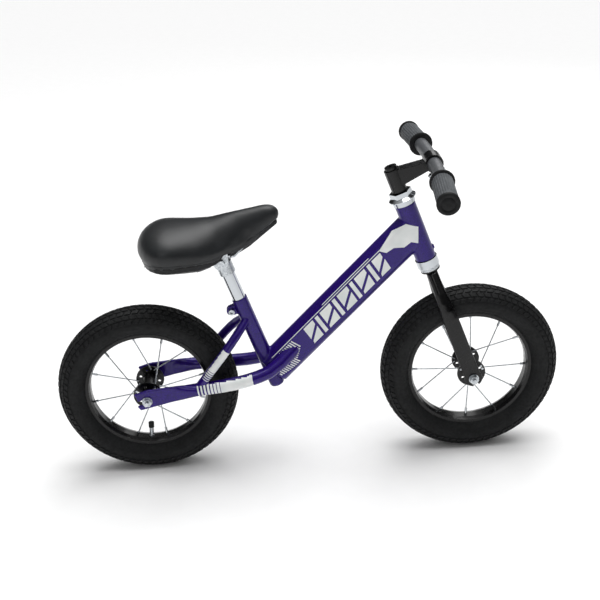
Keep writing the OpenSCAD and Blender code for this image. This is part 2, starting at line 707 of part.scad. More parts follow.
module rail_pair(d) at_pivot() both_sides() bent_bar(rail_path, [0, 1, 0], same(rail_path, d), same(rail_path, d));
module saddle_cheeks() color(steel) difference() {
  at_pivot() both_sides() translate([0, barrel_w / 2 + gap / 2, 0]) {
    across() cylinder(h = cheek_t, d = 24);
    translate([-12, 0, 0]) cube([24, cheek_t, 16]);
  }
  at_pivot() across() cylinder(h = 80, d = saddle_bolt_d + 2 * fit, center = true);
  rail_pair(rail_d);
}

// the saddle's outer form, drawn in by g and lowered by drop
module saddle_ball(f, g) translate([f[0], 0, f[1]]) scale([f[2] - g, f[3] - g, f[4] - g])
  sphere(r = 1, $fn = 24);
module saddle_solid(g = 0, drop = 0) at_pivot() translate([0, 0, -drop]) scale([saddle_k, 1, 1])
  for (i = [0 : len(saddle_form) - 2]) hull() {
    saddle_ball(saddle_form[i], g);
    saddle_ball(saddle_form[i + 1], g);
  }
// pocket for the clamp in the saddle's underside
module clamp_room() at_pivot() translate([-16, -33, -40]) cube([32, 66, 57]);
base_t = 3;
saddle_skirt = 9;
module saddle_cushion() color("#17181a") difference() {
  saddle_solid();
  saddle_solid(saddle_skirt, foam_t - saddle_skirt);
  rail_pair(rail_d + 1);
  clamp_room();
}
module saddle_base() color("#222326") difference() {
  intersection() {
    saddle_solid(saddle_skirt, foam_t - saddle_skirt);
    saddle_solid();
  }
  saddle_solid(saddle_skirt + base_t, foam_t - saddle_skirt + 1);
  rail_pair(rail_d + 1);
  clamp_room();
}
module saddle_rails() color(steel) rail_pair(rail_d);

// ---- the two wheels in place ----
module rear_axle() translate(rear) axle(rear_drop_y);
module rear_cones() translate(rear) cones(rear_flange_gap);
module rear_locknuts() translate(rear) locknuts(rear_flange_gap, rear_drop_y);
module rear_axle_washers() translate(rear) axle_washers(rear_drop_y);
module rear_axle_nuts() translate(rear) axle_nuts(rear_drop_y);
module rear_hub_shell() translate(rear) hub_shell(rear_phase, rear_flange_gap);
module rear_hub_balls() translate(rear) hub_balls(rear_flange_gap);
module rear_rim() translate(rear) rim(rear_phase, rear_flange_gap, rear_valve_turn);
module rear_inner_tube() translate(rear) inner_tube();
module rear_tyre() translate(rear) tyre();
module rear_spokes() translate(rear) spokes(rear_phase, rear_flange_gap);
module rear_nipples() translate(rear) nipples(rear_phase, rear_flange_gap);
module rear_valve() translate(rear) valve(rear_valve_turn);
module rear_valve_cap() translate(rear) valve_cap(rear_valve_turn);
module front_axle() translate(front) axle(front_drop_y);
module front_cones() translate(front) cones(front_flange_gap);
module front_locknuts() translate(front) locknuts(front_flange_gap, front_drop_y);
module front_axle_washers() translate(front) axle_washers(front_drop_y);
module front_axle_nuts() translate(front) axle_nuts(front_drop_y);
module front_hub_shell() translate(front) hub_shell(front_phase, front_flange_gap);
module front_hub_balls() translate(front) hub_balls(front_flange_gap);
module front_rim() translate(front) rim(front_phase, front_flange_gap, front_valve_turn);
module front_inner_tube() translate(front) inner_tube();
module front_tyre() translate(front) tyre();
module front_spokes() translate(front) spokes(front_phase, front_flange_gap);
module front_nipples() translate(front) nipples(front_phase, front_flange_gap);
module front_valve() translate(front) valve(front_valve_turn);
module front_valve_cap() translate(front) valve_cap(front_valve_turn);

head_tube();
main_beam();
seat_tube();
chainstay_left();
chainstay_right();
seatstay_left();
seatstay_right();
seat_clamp_bolt();
upper_cup();
lower_cup();
rear_axle();
rear_cones();
rear_locknuts();
rear_axle_washers();
rear_axle_nuts();
rear_hub_shell();
rear_hub_balls();
rear_rim();
rear_inner_tube();
rear_tyre();
rear_spokes();
rear_nipples();
rear_valve();
rear_valve_cap();
steerer_tube();
fork_blade_left();
fork_blade_right();
crown_race();
headset_balls();
adjusting_race();
headset_locknut();
front_axle();
front_cones();
front_locknuts();
front_axle_washers();
front_axle_nuts();
front_hub_shell();
front_hub_balls();
front_rim();
front_inner_tube();
front_tyre();
front_spokes();
front_nipples();
front_valve();
front_valve_cap();
stem();
stem_bolt();
stem_wedge();
bar_clamp_bolt();
handlebar();
grip_left();
grip_right();
seat_post();
post_clamp();
saddle_bolt();
saddle_cheeks();
saddle_rails();
saddle_base();
saddle_cushion();
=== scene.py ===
"""Balance bike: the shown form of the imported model, one operator for each group of pieces."""

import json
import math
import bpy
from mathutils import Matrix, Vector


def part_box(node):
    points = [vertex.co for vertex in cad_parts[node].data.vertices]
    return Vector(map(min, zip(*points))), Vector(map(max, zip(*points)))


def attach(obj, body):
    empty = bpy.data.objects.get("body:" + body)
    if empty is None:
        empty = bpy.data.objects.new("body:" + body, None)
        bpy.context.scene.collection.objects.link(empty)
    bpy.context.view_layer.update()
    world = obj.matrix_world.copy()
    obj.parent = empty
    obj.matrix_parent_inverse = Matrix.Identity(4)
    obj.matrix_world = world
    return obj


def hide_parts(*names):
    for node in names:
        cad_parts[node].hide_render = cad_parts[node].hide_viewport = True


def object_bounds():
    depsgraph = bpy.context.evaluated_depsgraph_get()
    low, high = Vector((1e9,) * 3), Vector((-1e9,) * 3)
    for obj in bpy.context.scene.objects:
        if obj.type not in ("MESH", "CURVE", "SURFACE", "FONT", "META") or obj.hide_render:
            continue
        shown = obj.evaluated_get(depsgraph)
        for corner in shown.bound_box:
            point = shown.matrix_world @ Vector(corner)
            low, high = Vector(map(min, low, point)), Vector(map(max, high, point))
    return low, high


bl_info = {
    "name": "Balance bike",
    "version": (1, 0, 0),
    "blender": (4, 5, 0),
    "location": "3D View > Sidebar > Balance bike",
    "description": "Paints and details a child's balance bike on its packed frame",
    "category": "Object",
}

import bmesh
import bpy
from bpy.props import FloatProperty, FloatVectorProperty, IntProperty, PointerProperty
from mathutils import Matrix, Vector
from mathutils.bvhtree import BVHTree

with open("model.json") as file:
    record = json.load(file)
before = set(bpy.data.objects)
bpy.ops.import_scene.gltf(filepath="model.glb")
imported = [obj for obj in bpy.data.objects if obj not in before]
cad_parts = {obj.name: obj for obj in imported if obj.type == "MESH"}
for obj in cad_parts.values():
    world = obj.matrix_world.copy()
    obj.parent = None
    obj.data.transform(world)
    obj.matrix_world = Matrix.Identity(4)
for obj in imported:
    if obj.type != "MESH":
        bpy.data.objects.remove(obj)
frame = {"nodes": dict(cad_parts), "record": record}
CAD_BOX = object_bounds()
MM = 0.001


# ---- places, in metres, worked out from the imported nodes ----


def centre(node):
    """Middle of a node's box."""
    low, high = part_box(node)
    return (low + high) / 2


def size(node):
    """Length, width and height of a node's box."""
    low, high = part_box(node)
    return high - low


FRONT = centre("front_axle")
REAR = centre("rear_axle")
TYRE_R = size("front_tyre").z / 2
TYRE_HALF_W = size("front_tyre").y / 2
RIM_R = size("front_rim").z / 2
HEAD_ANGLE = math.radians(70)
STEER_UP = Vector((-math.cos(HEAD_ANGLE), 0, math.sin(HEAD_ANGLE)))
STEER_AHEAD = Vector((math.sin(HEAD_ANGLE), 0, math.cos(HEAD_ANGLE)))


def steer_point(up, ahead=0.0, side=0.0):
    """Point measured in metres from the front axle, along and ahead of the steering axis."""
    return FRONT + up * STEER_UP + ahead * STEER_AHEAD + Vector((0, side, 0))


def linear(code):
    """An sRGB hex colour as linear red, green and blue."""
    parts = [int(code[i : i + 2], 16) / 255 for i in (1, 3, 5)]
    return tuple(c / 12.92 if c <= 0.04045 else ((c + 0.055) / 1.055) ** 2.4 for c in parts)


def length_setting(name, description, default, low, high):
    """A length in metres that the panel shows in the scene's units."""
    return FloatProperty(
        name=name, description=description, default=default, min=low, max=high,
        subtype="DISTANCE", unit="LENGTH",
    )


def colour_setting(name, description, code):
    """A colour whose default is an sRGB hex value."""
    return FloatVectorProperty(
        name=name, description=description, default=linear(code), min=0, max=1, size=3, subtype="COLOR",
    )


# ---- settings ----


class BikePaintSettings(bpy.types.PropertyGroup):
    """Colours of the painted and printed parts."""

    enamel: colour_setting("Frame enamel", "Body colour of the frame's metallic enamel", "#2c0586")
    enamel_deep: colour_setting("Enamel shade", "Darker colour between the enamel's flakes", "#16014a")
    film: colour_setting("Film", "Colour of the stuck-on film blocks", "#eef1f0")
    fork: colour_setting("Fork enamel", "Colour of the fork, stem, rims and hubs", "#060607")
    bar: colour_setting("Bar paint", "Colour of the handlebar's satin paint", "#55575a")


class BikeTyreSettings(bpy.types.PropertyGroup):
    """Tread and casing of both tyres."""

    rubber: colour_setting("Rubber", "Colour of the tyre rubber", "#131415")
    blocks: IntProperty(name="Blocks", description="Tread blocks in one turn", default=74, min=40, max=110)
    block_height: length_setting("Block height", "Height of a tread block", 1.5 * MM, 0.8 * MM, 3 * MM)


class BikeGripSettings(bpy.types.PropertyGroup):
    """Ribbed rubber grips."""

    rubber: colour_setting("Grip rubber", "Colour of the grip's ribbed sleeve", "#4e5154")
    flutes: IntProperty(
        name="Flutes", description="Lengthwise flutes round a grip", default=26, min=12, max=40,
    )
    flute_depth: length_setting("Flute depth", "Depth of a flute", 1.1 * MM, 0.3 * MM, 2 * MM)


class BikeSaddleSettings(bpy.types.PropertyGroup):
    """Padded saddle."""

    cover: colour_setting("Cover", "Colour of the saddle's vinyl cover", "#1b1d1f")
    inset: length_setting("Inset", "How far the pad starts inside its space", 3 * MM, 1 * MM, 8 * MM)
    swell: length_setting("Swell", "Furthest that the padding may swell", 5 * MM, 2 * MM, 10 * MM)


class BikeStageSettings(bpy.types.PropertyGroup):
    """Floor, lights and camera."""

    floor: colour_setting("Floor", "Colour of the floor", "#f7f7f7")
    lens: FloatProperty(name="Lens", description="Camera focal length in millimetres", default=63.56, min=20)


# ---- materials ----


def add_node(material, kind, settings=None, links=None):
    """Adds one node to a material, sets its properties and inputs, and links sockets into it."""
    tree = material.node_tree
    made = tree.nodes.new(kind)
    for name, value in (settings or {}).items():
        if name in made.inputs:
            made.inputs[name].default_value = value
        else:
            setattr(made, name, value)
    for name, socket in (links or {}).items():
        tree.links.new(socket, made.inputs[name])
    return made


def finish_named(name, colour, **sockets):
    """A new material whose shader starts from one colour and typical values for that finish."""
    material = bpy.data.materials.new(name)
    material.use_nodes = True
    shader = material.node_tree.nodes["Principled BSDF"]
    shader.inputs["Base Color"].default_value = (*colour, 1)
    material.diffuse_color = (*colour, 1)
    for socket, value in sockets.items():
        shader.inputs[socket.replace("_", " ")].default_value = value
    return material, shader


def scaled(material, mm):
    """Noise input in object space, in cells of that many millimetres."""
    place = add_node(material, "ShaderNodeTexCoord")
    cells = add_node(
        material, "ShaderNodeMapping", {"Scale": (1000 / mm, 1000 / mm, 1000 / mm)},
        {"Vector": place.outputs["Object"]},
    )
    return cells.outputs["Vector"]


def mottle(material, shader, mm, low, high):
    """Lets the roughness wander between two values in patches of that many millimetres."""
    noise = add_node(
        material, "ShaderNodeTexNoise", {"Scale": 1.0, "Detail": 3.0}, {"Vector": scaled(material, mm)}
    )
    spread = add_node(
        material, "ShaderNodeMapRange",
        {"From Min": 0.35, "From Max": 0.65, "To Min": low, "To Max": high},
        {"Value": noise.outputs["Fac"]},
    )
    material.node_tree.links.new(spread.outputs["Result"], shader.inputs["Roughness"])


def two_tone(material, shader, mm, first, second, detail=2.0):
    """Mixes two close colours in patches of that many millimetres."""
    noise = add_node(
        material, "ShaderNodeTexNoise", {"Scale": 1.0, "Detail": detail}, {"Vector": scaled(material, mm)}
    )
    ramp = add_node(material, "ShaderNodeValToRGB", links={"Fac": noise.outputs["Fac"]})
    for stop, place, colour in zip(ramp.color_ramp.elements, (0.36, 0.64), (first, second)):
        stop.position = place
        stop.color = (*colour, 1)
    material.node_tree.links.new(ramp.outputs["Color"], shader.inputs["Base Color"])


def grain(material, shader, mm, height_mm, strength, kind="ShaderNodeTexNoise"):
    """Raises a fine grain in cells of that many millimetres."""
    cells = add_node(material, kind, {"Scale": 1.0}, {"Vector": scaled(material, mm)})
    bump = add_node(
        material, "ShaderNodeBump", {"Strength": strength, "Distance": height_mm * MM},
        {"Height": cells.outputs[0]},
    )
    material.node_tree.links.new(bump.outputs["Normal"], shader.inputs["Normal"])


def shade(colour, factor):
    """The same colour, lighter or darker."""
    return tuple(min(1, c * factor) for c in colour)


def metallic_enamel():
    """Sprayed enamel with aluminium flake under clear lacquer: deep, with a bright sharp gloss."""
    paint = bpy.context.scene.bike_paint
    material, shader = finish_named(
        "metallic_enamel_under_lacquer", paint.enamel,
        Metallic=0.3, Roughness=0.36, Specular_IOR_Level=0.25, Coat_Weight=0.45, Coat_Roughness=0.05,
    )
    # flake is finer than 0.1 mm, and is drawn at 0.9 mm so that it shows
    two_tone(material, shader, 0.9, tuple(paint.enamel_deep), tuple(paint.enamel), detail=1.0)
    # orange peel of the lacquer
    grain(material, shader, 3.5, 0.02, 0.25)
    return material


def gloss_black_enamel():
    """Baked black enamel on steel: near black, with clear reflections and a faint orange peel."""
    material, shader = finish_named(
        "baked_black_enamel", bpy.context.scene.bike_paint.fork,
        Roughness=0.3, Specular_IOR_Level=0.25, Coat_Weight=0.22, Coat_Roughness=0.05,
    )
    mottle(material, shader, 12, 0.24, 0.34)
    grain(material, shader, 3.0, 0.02, 0.2)
    return material


def bright_chrome():
    """Chrome plate on polished steel: mirror bright, with faint polishing haze."""
    material, shader = finish_named("chrome_plate", linear("#c4c8cc"), Metallic=1.0, Roughness=0.08)
    mottle(material, shader, 6, 0.05, 0.12)
    return material


def zinc_plate():
    """Zinc-plated fasteners and spokes: pale grey metal, dull and slightly uneven."""
    material, shader = finish_named("zinc_plated_steel", linear("#c3c7cb"), Metallic=1.0, Roughness=0.3)
    two_tone(material, shader, 2.5, linear("#aeb3b8"), linear("#cfd3d6"))
    mottle(material, shader, 1.6, 0.24, 0.42)
    return material


def ground_bearing_steel():
    """Ground and hardened bearing steel: bright, with a fine tool haze."""
    material, shader = finish_named("ground_bearing_steel", linear("#b9bdc0"), Metallic=1.0, Roughness=0.15)
    mottle(material, shader, 0.8, 0.12, 0.24)
    return material


def satin_bar_paint():
    """Satin grey paint on steel tube: soft broad highlight, with fine texture."""
    material, shader = finish_named(
        "satin_grey_paint", bpy.context.scene.bike_paint.bar, Metallic=0.25, Roughness=0.42,
    )
    mottle(material, shader, 5, 0.38, 0.5)
    grain(material, shader, 0.8, 0.03, 0.25)
    return material


def moulded_grip_rubber():
    """Moulded rubber of the grip sleeve: matt grey, worn paler in patches."""
    colour = tuple(bpy.context.scene.bike_grip.rubber)
    material, shader = finish_named("moulded_grey_rubber", colour, Roughness=0.62, Specular_IOR_Level=0.3)
    two_tone(material, shader, 9, shade(colour, 0.8), shade(colour, 1.12))
    grain(material, shader, 0.7, 0.06, 0.35)
    return material


def rubber_painted_near_black_as_shade():
    """Moulded grip rubber painted near black for the flange and end cap: painted shade for faces turned away
    from the light, matt.
    """
    material, shader = finish_named(
        "rubber_painted_near_black_as_shade", linear("#141516"), Roughness=0.58, Specular_IOR_Level=0.25,
    )
    two_tone(material, shader, 7, linear("#101112"), linear("#191a1b"))
    grain(material, shader, 0.7, 0.06, 0.35)
    return material


def tyre_rubber():
    """Vulcanised tyre rubber: dusty matt black, with the mould's fine grain."""
    colour = tuple(bpy.context.scene.bike_tyre.rubber)
    material, shader = finish_named(
        "vulcanised_tyre_rubber", colour, Roughness=0.66, Specular_IOR_Level=0.25,
    )
    two_tone(material, shader, 14, shade(colour, 0.75), shade(colour, 1.25), detail=4.0)
    mottle(material, shader, 4, 0.55, 0.75)
    grain(material, shader, 0.8, 0.08, 0.4)
    return material


def butyl_tube_rubber():
    """Butyl inner tube: smooth dull black with talc haze."""
    material, shader = finish_named("butyl_rubber", linear("#242526"), Roughness=0.5)
    mottle(material, shader, 8, 0.45, 0.7)
    return material


def moulded_black_plastic():
    """Moulded polypropylene: dark, low sheen, with a fine eroded grain."""
    material, shader = finish_named(
        "moulded_polypropylene", linear("#111213"), Roughness=0.45, Specular_IOR_Level=0.3,
    )
    mottle(material, shader, 5, 0.4, 0.55)
    grain(material, shader, 0.7, 0.04, 0.3)
    return material


def saddle_vinyl():
    """Calendered vinyl over foam: near black satin, with a very fine leather grain."""
    colour = tuple(bpy.context.scene.bike_saddle.cover)
    material, shader = finish_named(
        "calendered_vinyl", colour, Roughness=0.4, Specular_IOR_Level=0.4, Sheen_Weight=0.04,
    )
    two_tone(material, shader, 30, shade(colour, 0.85), shade(colour, 1.15))
    # grain is about 0.3 mm across, and is drawn at 1.1 mm so that it shows
    grain(material, shader, 1.1, 0.05, 0.3, kind="ShaderNodeTexVoronoi")
    return material


def printed_film():
    """White vinyl film under the lacquer: flat white, glossy, with random greyer and whiter patches of
    painted sheen.
    """
    material, shader = finish_named(
        "white_vinyl_film", bpy.context.scene.bike_paint.film,
        Roughness=0.35, Coat_Weight=0.7, Coat_Roughness=0.08,
    )
    # painted sheen: greyish and whiter patches at random, for light on the curved film
    two_tone(material, shader, 25, linear("#e3e8e7"), linear("#f3f5f4"))
    return material


def studio_paper():
    """Seamless paper: flat and near white, with a trace of fibre."""
    colour = tuple(bpy.context.scene.bike_stage.floor)
    material, shader = finish_named("seamless_paper", colour, Roughness=0.95)
    two_tone(material, shader, 40, shade(colour, 0.99), colour)
    return material


MAKE_FINISH = {
    "frame_paint": metallic_enamel,
    "black_paint": gloss_black_enamel,
    "chrome": bright_chrome,
    "zinc_steel": zinc_plate,
    "bearing_steel": ground_bearing_steel,
    "grey_paint": satin_bar_paint,
    "grip_rubber": moulded_grip_rubber,
    # flange and end cap: grip rubber painted near black as shade
    "painted_shade_rubber": rubber_painted_near_black_as_shade,
    "tyre": tyre_rubber,
    "tube_rubber": butyl_tube_rubber,
    "black_plastic": moulded_black_plastic,
    "saddle_cover": saddle_vinyl,
    "film": printed_film,
    "paper": studio_paper,
}
made_finishes = {}


def finish_for(name):
    """The material of that finish, made the first time it is asked for."""
    if name not in made_finishes:
        made_finishes[name] = MAKE_FINISH[name]()
    return made_finishes[name]


# ---- shaping ----


def add_piece(name, mesh, finish, body):
    """Adds a mesh as a piece that rides on a body and takes its finish from a slot."""
    piece = bpy.data.objects.new(name, mesh)
    bpy.context.scene.collection.objects.link(piece)
    mesh.materials.append(finish_for(finish))
    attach(piece, body)
    return piece


def mesh_of(name, points, faces, smooth=True):
    """A mesh from points in metres and faces of point numbers, with its normals outward."""
    shape = bmesh.new()
    made = [shape.verts.new(point) for point in points]
    for face in faces:
        shape.faces.new([made[i] for i in face]).smooth = smooth
    bmesh.ops.recalc_face_normals(shape, faces=shape.faces)
    mesh = bpy.data.meshes.new(name)
    shape.to_mesh(mesh)
    shape.free()
    return mesh


def loops_to_faces(loops, around):
    """Quads between loops of points, and round each loop."""
    return [
        (i * around + k, i * around + (k + 1) % around,
         (i + 1) * around + (k + 1) % around, (i + 1) * around + k)
        for i in range(loops - 1)
        for k in range(around)
    ]


def smooth_line(points, passes):
    """Cuts the corners of an open line, and keeps its ends."""
    for _ in range(passes):
        cut = [points[0]]
        for a, b in zip(points, points[1:]):
            cut += [a * 0.75 + b * 0.25, a * 0.25 + b * 0.75]
        points = cut + [points[-1]]
    return points


def apply_modifiers(piece):
    """Bakes every modifier into the piece's mesh."""
    shape = bpy.data.meshes.new_from_object(piece.evaluated_get(bpy.context.evaluated_depsgraph_get()))
    piece.modifiers.clear()
    piece.data = shape


def joined_mesh(name, nodes):
    """One mesh from CAD nodes, with their loose shells side by side."""
    shape = bmesh.new()
    for node in nodes:
        shape.from_mesh(frame["nodes"][node].data)
    bmesh.ops.remove_doubles(shape, verts=shape.verts, dist=0.005 * MM)
    mesh = bpy.data.meshes.new(name)
    shape.to_mesh(mesh)
    shape.free()
    return mesh


def welded_piece(name, nodes, voxel, soften, finish, body):
    """CAD tubes run into one skin, with fillets of weld where they meet."""
    piece = add_piece(name, joined_mesh(name, nodes), finish, body)
    skin = piece.modifiers.new("skin", "REMESH")
    skin.mode = "VOXEL"
    skin.voxel_size = voxel
    skin.use_smooth_shade = True
    fillet = piece.modifiers.new("fillet", "SMOOTH")
    fillet.factor = 0.5
    fillet.iterations = soften
    apply_modifiers(piece)
    piece.data.name = name
    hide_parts(*nodes)
    return piece


# ---- frame ----

BEAM_SLOPE = math.radians(45)
BEAM_ALONG = Vector((math.cos(BEAM_SLOPE), 0, math.sin(BEAM_SLOPE)))
BEAM_UP = Vector((-math.sin(BEAM_SLOPE), 0, math.cos(BEAM_SLOPE)))
BEAM_FOOT = Vector((-64.3 * MM, 0, 170.7 * MM))
PAINTED_NODES = (
    "head_tube", "main_beam", "seat_tube",
    "chainstay_left", "chainstay_right", "seatstay_left", "seatstay_right",
)
SKIN_CELL = 1.2 * MM       # voxel of the frame's skin
WELD_PASSES = 6            # smoothing passes that round its welds

# Film on the beam's side, in mm along the beam and above its middle line.
BEAM_BARS = (              # start along the beam, and width
    (90, 22), (117, 7), (129, 24), (158, 7), (170, 24), (199, 7), (211, 24), (240, 7), (252, 20),
)
WIDE_BAR = 10              # a bar wider than this is cut through
BAR_TOP = 17
BAR_FOOT = -15
BAR_LEAN = 7
BAR_CUT = 5
CUT_LEFT = BAR_FOOT + 7    # height of the cut's middle at a bar's left side
CUT_RIGHT = BAR_TOP - 8    # height of its upper edge at the right side
HEAD_PANEL = [
    (280, 20), (318, 27), (342, 20), (352, 2), (332, -18), (326, -8), (312, -6), (300, 6), (286, 9),
]
PINSTRIPES = (
    [(22, 20.6), (282, 20.6), (282, 19.4), (22, 19.4)],
    [(150, 23.6), (258, 23.6), (260, 22.6), (148, 22.6)],
)
HATCH_COUNT = 16
HATCH_START = 6
HATCH_STEP = 4.2
HATCH_LINE = 2.2
HATCH_LEAN = 0.2
HATCH_FOOT = -15
HATCH_SAG = 5              # how much lower the middle lines reach than the first and last
HATCH_RISE = 3.4           # how much higher each line's top is than the one before
HATCH_NOTCH = range(6, 10)  # lines with a gap in them
HATCH_FIRST_TOP = -10
NOTCH_FOOT, NOTCH_RISE, NOTCH_GAP = -11, 4.5, 9
FADE_FOOT, FADE_RISE = -14, 2.2   # foot of the lines past the notch, which climbs
SHORTEST_LINE = 2

# Film on the stays, in mm.
STAY_BAND = (-152, -98)    # rear and front edge of the lower stay's full band
STAY_LINES = 7
STAY_LINE_STEP = 5.4
STAY_LINE_REAR = -190      # rear edge of the first line
STAY_LINE_WIDE, STAY_LINE_GROWTH = 2.4, 0.35
STAY_LOW, STAY_HIGH, STAY_LEAN = -12, 11, 3
STAY_LEVEL, STAY_SLOPE, STAY_LEVEL_AT = 170, 0.09, -140
UPPER_BAND = (40, 79)      # foot and top of the upper stay's full band, along it
FILM_LIFT = 0.12 * MM
FILM_EDGE_ON = 0.12        # least sideways part of a normal that still takes film


def beam_place(along, up):
    """Point in the side plane, from mm along the beam and above its middle line."""
    return BEAM_FOOT + (along * BEAM_ALONG + up * BEAM_UP) * MM


def beam_blocks():
    """Leaning bars along the beam, each wide one cut through on a slant."""
    blocks = []
    for start, wide in BEAM_BARS:
        foot, top = start, start + BAR_LEAN
        lower = [(foot, BAR_FOOT), (foot + wide, BAR_FOOT)]
        upper = [(top + wide, BAR_TOP), (top, BAR_TOP)]
        if wide < WIDE_BAR:
            blocks.append(lower + upper)
            continue
        left, right = foot + BAR_LEAN * 0.3, foot + wide + BAR_LEAN * 0.7
        blocks.append(lower + [(right, CUT_RIGHT - BAR_CUT), (left, CUT_LEFT - BAR_CUT / 2)])
        blocks.append([(left, CUT_LEFT + BAR_CUT / 2), (right, CUT_RIGHT)] + upper)
    return blocks


def hatch_blocks():
    """Slanted lines that fade the blocks out towards the seat tube."""
    blocks = []
    for line in range(HATCH_COUNT):
        start = HATCH_START + line * HATCH_STEP
        low = HATCH_FOOT - HATCH_SAG * math.sin(math.pi * line / (HATCH_COUNT - 1))
        high = min(BAR_TOP, HATCH_FIRST_TOP + HATCH_RISE * line)
        if line in HATCH_NOTCH:
            notch = NOTCH_FOOT + NOTCH_RISE * (line - HATCH_NOTCH[0])
            spans = ((low, notch), (notch + NOTCH_GAP, high))
        elif line > HATCH_NOTCH[-1]:
            spans = ((max(low, FADE_FOOT + FADE_RISE * (line - HATCH_NOTCH[-1])), high),)
        else:
            spans = ((low, high),)
        for bottom, top in spans:
            if top - bottom > SHORTEST_LINE:
                foot, head = start - HATCH_LEAN * bottom, start - HATCH_LEAN * top
                blocks.append([
                    (foot, bottom), (foot + HATCH_LINE, bottom), (head + HATCH_LINE, top), (head, top),
                ])
    return blocks


def lower_stay_blocks():
    """White band on the lower stay, fading in slanted lines towards the axle."""
    spans = [STAY_BAND]
    for line in range(STAY_LINES):
        start = STAY_LINE_REAR + STAY_LINE_STEP * line
        spans.append((start, start + STAY_LINE_WIDE + STAY_LINE_GROWTH * line))
    blocks = []
    for rear_edge, front_edge in spans:
        corners = []
        for x, rise, lean in (
            (rear_edge, STAY_LOW, STAY_LEAN), (front_edge, STAY_LOW, STAY_LEAN),
            (front_edge, STAY_HIGH, 0), (rear_edge, STAY_HIGH, 0),
        ):
            middle = STAY_LEVEL + STAY_SLOPE * (x - STAY_LEVEL_AT)
            corners.append(Vector(((x + lean) * MM, 0, (middle + rise) * MM)))
        blocks.append(corners)
    return blocks


def upper_stay_blocks():
    """White band on the upper stay, fading in cross lines towards the lower stay."""
    foot = Vector((-187, 0, 170.5))
    along, across = Vector((0.631, 0, 0.776)), Vector((-0.776, 0, 0.631))
    spans = [UPPER_BAND] + [(19 + 3.6 * line, 20.2 + 3.95 * line) for line in range(6)]
    return [
        [(foot + u * along + v * across) * MM for u, v in ((a, -10), (b, -10), (b, 10), (a, 10))]
        for a, b in spans
    ]


def film_on(skin, name, blocks, side, cell, inner, outer):
    """Lays flat blocks from one side onto a painted skin, where it stands between two widths.

    The film stands just proud of the paint, and is left off where the skin turns away.
    """
    shape = bmesh.new()
    for block in blocks:
        shape.faces.new([shape.verts.new(point) for point in block])
    for axis in (Vector((1, 0, 0)), Vector((0, 0, 1))):
        places = [v.co.dot(axis) for v in shape.verts]
        step = min(places) + cell
        while step < max(places):
            bmesh.ops.bisect_plane(
                shape, geom=shape.verts[:] + shape.edges[:] + shape.faces[:],
                plane_co=axis * step, plane_no=axis, dist=0.001 * MM,
            )
            step += cell
    tree = BVHTree.FromObject(skin, bpy.context.evaluated_depsgraph_get())
    missed = []
    for vert in shape.verts:
        start = Vector((vert.co.x, side * CAD_BOX[1][1] * 1.1, vert.co.z))
        place, normal, _, _ = tree.ray_cast(start, Vector((0, -side, 0)))
        if place is None or not inner < place.y * side < outer or abs(normal.y) < FILM_EDGE_ON:
            missed.append(vert)
        else:
            vert.co = place + normal * FILM_LIFT
    bmesh.ops.delete(shape, geom=missed, context="VERTS")
    uneven = [
        f for f in shape.faces
        if max(v.co.y for v in f.verts) - min(v.co.y for v in f.verts) > 2.2 * cell
    ]
    bmesh.ops.delete(shape, geom=uneven, context="FACES")
    for face in shape.faces:
        face.smooth = True
        face.normal_update()
        if face.normal.y * side < 0:
            face.normal_flip()
    mesh = bpy.data.meshes.new(name)
    shape.to_mesh(mesh)
    shape.free()
    return add_piece(name, mesh, "film", "frame")


class BIKE_OT_frame(bpy.types.Operator):
    """Run the painted tubes into one enamelled frame and lay its film blocks"""

    bl_idname = "bike.frame"
    bl_label = "Painted frame"

    def execute(self, context):
        skin = welded_piece(
            "painted_frame", PAINTED_NODES, SKIN_CELL, WELD_PASSES, "frame_paint", "frame",
        )
        blocks = [[beam_place(*corner) for corner in block]
                  for block in (*beam_blocks(), HEAD_PANEL, *PINSTRIPES, *hatch_blocks())]
        for side, hand in ((-1, "right"), (1, "left")):
            for name, shapes, cell, inner, outer in (
                ("beam", blocks, 2, 4, 19.6),
                ("lower_stay", lower_stay_blocks(), 1.2, 30, 60),
                ("upper_stay", upper_stay_blocks(), 1.2, 30, 62),
            ):
                film_on(skin, f"{name}_film_{hand}", shapes, side, cell * MM, inner * MM, outer * MM)
        return {"FINISHED"}


# ---- wheels ----

TYRE_MID_R = TYRE_R - (TYRE_R - RIM_R) / 2 - 3.5 * MM
CROWN_HALF = TYRE_R - TYRE_MID_R
CASING_STEPS = 148
TREAD_ROWS = (-66, -47, -28, -9.5, 9.5, 28, 47, 66)
TREAD_ARC = 15.5
RIB_ANGLES = (84, 92, 100)
RIB_HEIGHT = 0.5 * MM
CASING_DROP = 0.2 * MM     # how far the casing lies under the blocks' feet


def casing_point(across, height):
    """Radius and sideways place on a tyre, at an angle across it and a height above its casing."""
    a = math.radians(across)
    return (
        TYRE_MID_R + (CROWN_HALF + height) * math.cos(a),
        (TYRE_HALF_W + height) * math.sin(a),
    )


def wheel_point(radius, side, turn):
    """Point round an axle at the origin."""
    return Vector((radius * math.cos(turn), side, radius * math.sin(turn)))


